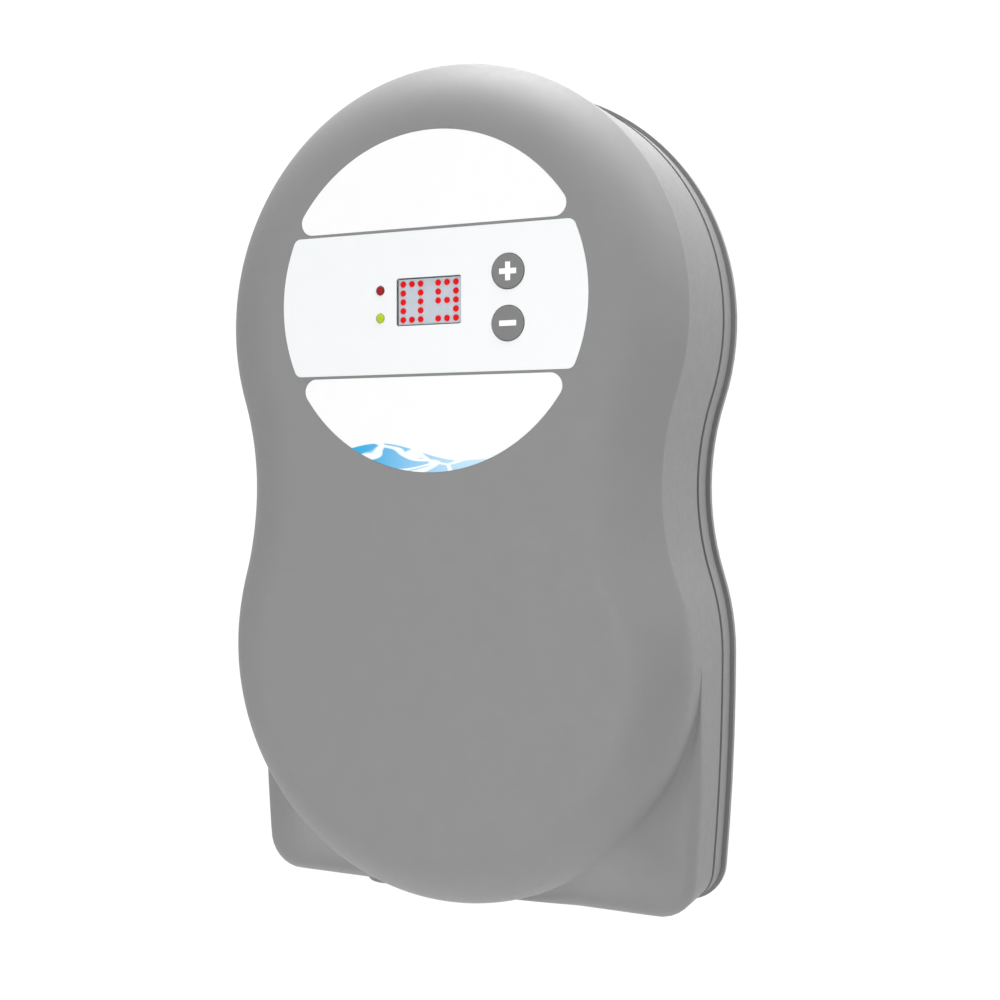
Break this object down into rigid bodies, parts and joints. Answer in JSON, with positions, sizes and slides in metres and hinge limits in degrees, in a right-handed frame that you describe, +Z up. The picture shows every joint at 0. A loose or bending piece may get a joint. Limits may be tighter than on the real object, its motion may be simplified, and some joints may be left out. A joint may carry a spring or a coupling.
{
  "type": "salt chlorine generator",
  "caption": "Wall-mounted pool salt chlorinator control unit: waisted grey casing, round label with dot display and two keys, transformer and boards inside.",
  "frame": {"origin": "centre of the four wall screws on the wall plane, behind the casing's waist", "axes": "+X to the right seen from the front, +Y back into the wall, +Z up"},
  "size_m": [0.1848, 0.0705, 0.3074],
  "materials": {
    "casing_grey": "fine satin moulded ABS",
    "label_white": "satin printed vinyl",
    "overlay_white": "satin polyester membrane",
    "key_grey": "satin",
    "mark_white": "satin",
    "window_clear": "clear polycarbonate",
    "display_face": "satin",
    "dot_red": "lit",
    "lamp_red": "diffused epoxy",
    "lamp_green": "diffused epoxy",
    "gasket_rubber": "matt closed-cell foam",
    "pad_rubber": "matt",
    "steel_zinc": "zinc plated",
    "bracket_steel": "galvanised sheet",
    "board_green": "solder mask",
    "black_plastic": "moulded nylon",
    "relay_blue": "moulded",
    "capacitor_black": "shrink sleeve",
    "sink_aluminium": "anodised extrusion",
    "terminal_green": "moulded",
    "winding_tape": "polyester tape wrap",
    "wire_blue": "pvc insulation",
    "ribbon_grey": "pvc ribbon",
    "gland_grey": "nylon",
    "fuse_glass": "glass tube",
    "brass": "bright"
  },
  "bodies": {
    "wall_plate": {"wall_plate": "bracket_steel"},
    "plus_key": {"plus_key": "key_grey", "plus_mark": "mark_white"},
    "minus_key": {"minus_key": "key_grey", "minus_mark": "mark_white"},
    "power_rocker": {"power_rocker": "black_plastic"},
    "fuse_cap": {"fuse_cap": "black_plastic", "fuse": "fuse_glass"},
    "unit": {"front_cover": "casing_grey", "middle_frame": "casing_grey", "rear_panel": "casing_grey", "connector_plate": "casing_grey", "cover_gasket": "gasket_rubber", "cover_screws": "steel_zinc", "top_label": "label_white", "keypad_overlay": "overlay_white", "bottom_label": "label_white", "display_window": "window_clear", "display_module": "display_face", "display_dots": "dot_red", "red_lamp": "lamp_red", "green_lamp": "lamp_green", "display_board": "board_green", "display_board_screws": "steel_zinc", "key_switches": "black_plastic", "control_chip": "black_plastic", "board_headers": "black_plastic", "ribbon_cable": "ribbon_grey", "board_standoffs": "brass", "standoff_screws": "steel_zinc", "power_board": "board_green", "power_board_screws": "steel_zinc", "relays": "relay_blue", "capacitors": "capacitor_black", "rectifier": "black_plastic", "heat_sink": "sink_aluminium", "terminal_block": "terminal_green", "transformer": "winding_tape", "transformer_pads": "pad_rubber", "dished_washer": "steel_zinc", "transformer_bolt": "steel_zinc", "transformer_nut": "steel_zinc", "transformer_leads": "wire_blue", "connector_plate_screws": "steel_zinc", "mains_gland": "gland_grey", "mains_gland_nut": "gland_grey", "mains_gland_locknut": "gland_grey", "cell_gland": "gland_grey", "cell_gland_nut": "gland_grey", "cell_gland_locknut": "gland_grey", "gland_seals": "pad_rubber", "switch_housing": "black_plastic", "fuse_holder": "black_plastic", "sensor_socket": "black_plastic", "barrel_nuts": "black_plastic", "wall_bumpers": "pad_rubber"}
  },
  "joints": [
    {"name": "unit_lift", "type": "slide", "parent": "wall_plate", "child": "unit", "axis": [0, 0, 1], "range_m": [0, 0.005]},
    {"name": "plus_press", "type": "slide", "parent": "unit", "child": "plus_key", "axis": [0, 1, 0], "range_m": [0, 0.0006], "stiffness_N_per_m": 1500, "springref_m": -0.0004},
    {"name": "minus_press", "type": "slide", "parent": "unit", "child": "minus_key", "axis": [0, 1, 0], "range_m": [0, 0.0006], "stiffness_N_per_m": 1500, "springref_m": -0.0004},
    {"name": "rocker_tip", "type": "hinge", "parent": "unit", "child": "power_rocker", "pos_m": [0.004, -0.0215, -0.1395], "axis": [0, 1, 0], "range_deg": [0, 16]},
    {"name": "fuse_cap_turn", "type": "hinge", "parent": "unit", "child": "fuse_cap", "pos_m": [0.027, -0.0215, -0.147], "axis": [0, 0, -1], "range_deg": [-60, 0]}
  ]
}
